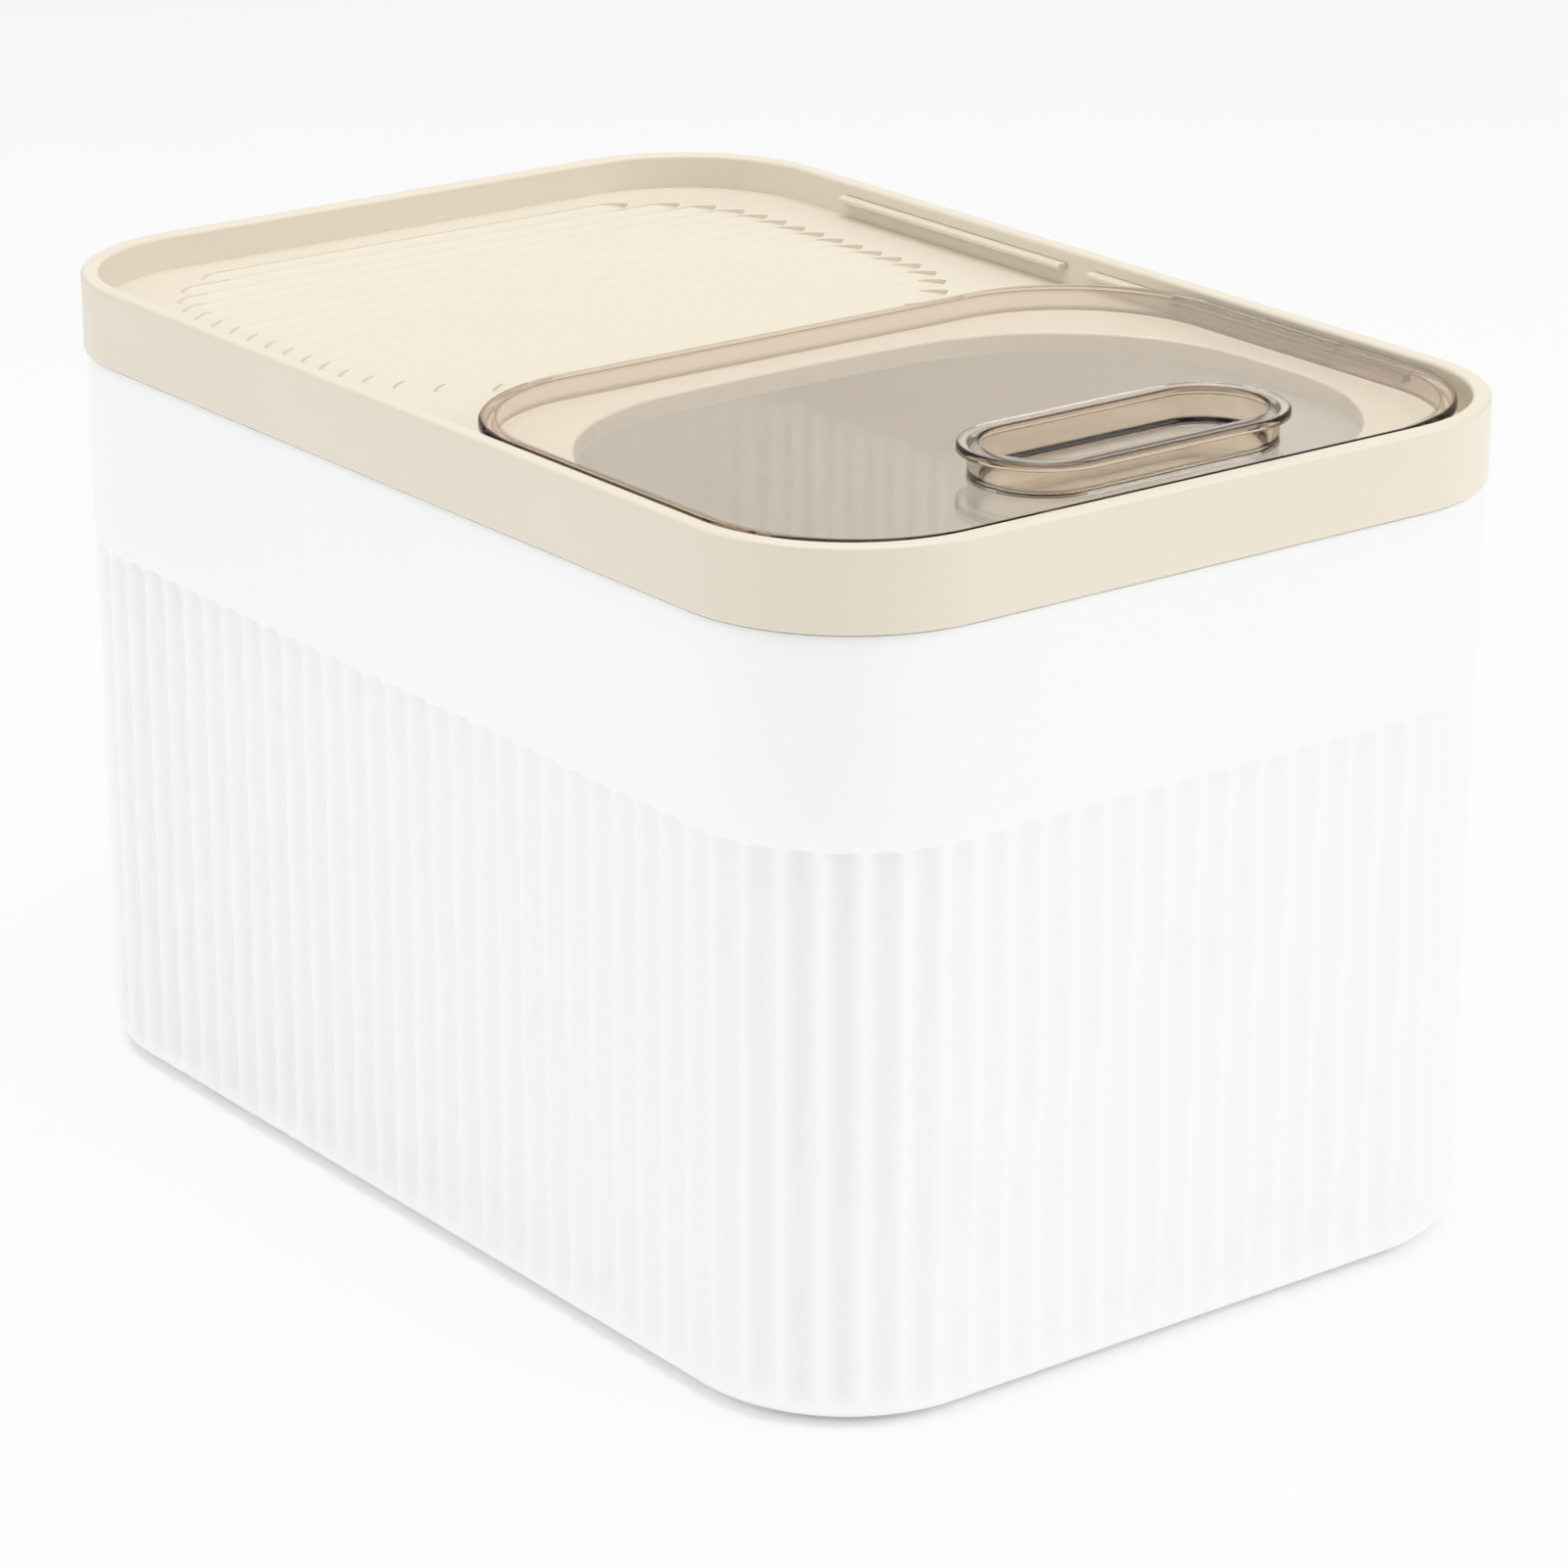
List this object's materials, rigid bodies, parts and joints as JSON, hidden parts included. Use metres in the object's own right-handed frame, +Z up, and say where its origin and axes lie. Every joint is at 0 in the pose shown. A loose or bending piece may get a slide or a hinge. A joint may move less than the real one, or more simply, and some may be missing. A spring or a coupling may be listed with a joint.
{
  "type": "rice storage bucket",
  "caption": "Rounded rectangular rice keeper: fluted white bucket, cream lift-off lid with sunken deck, oval mouth, grooved parking panel and a smoky see-through cover that slides back.",
  "frame": {"origin": "on the floor, under the middle of the bucket", "axes": "+X to the right, +Y to the back along the cover's travel, +Z up; the mouth and finger pull are at the front"},
  "size_m": [0.22, 0.33, 0.2136],
  "materials": {
    "bucket_white": "satin moulded polypropylene",
    "lid_cream": "satin moulded polypropylene",
    "gasket_silicone": "soft silicone",
    "cover_smoke": "clear smoky polystyrene",
    "handle_smoke": "clear smoky polystyrene",
    "pad_rubber": "soft anti-slip pad"
  },
  "bodies": {
    "bucket": {"bucket_shell": "bucket_white", "foot_pad_front_left": "pad_rubber", "foot_pad_front_right": "pad_rubber", "foot_pad_rear_left": "pad_rubber", "foot_pad_rear_right": "pad_rubber"},
    "lid": {"lid_shell": "lid_cream", "lid_gasket": "gasket_silicone", "rail_front_left": "lid_cream", "rail_front_right": "lid_cream", "rail_rear_left": "lid_cream", "rail_rear_right": "lid_cream"},
    "cover": {"slide_cover": "cover_smoke", "cover_handle": "handle_smoke"}
  },
  "joints": [
    {"name": "lid_lift", "type": "slide", "parent": "bucket", "child": "lid", "axis": [0, 0, 1], "range_m": [0, 0.09]},
    {"name": "cover_slide", "type": "slide", "parent": "lid", "child": "cover", "axis": [0, 1, 0], "range_m": [0, 0.15]}
  ]
}
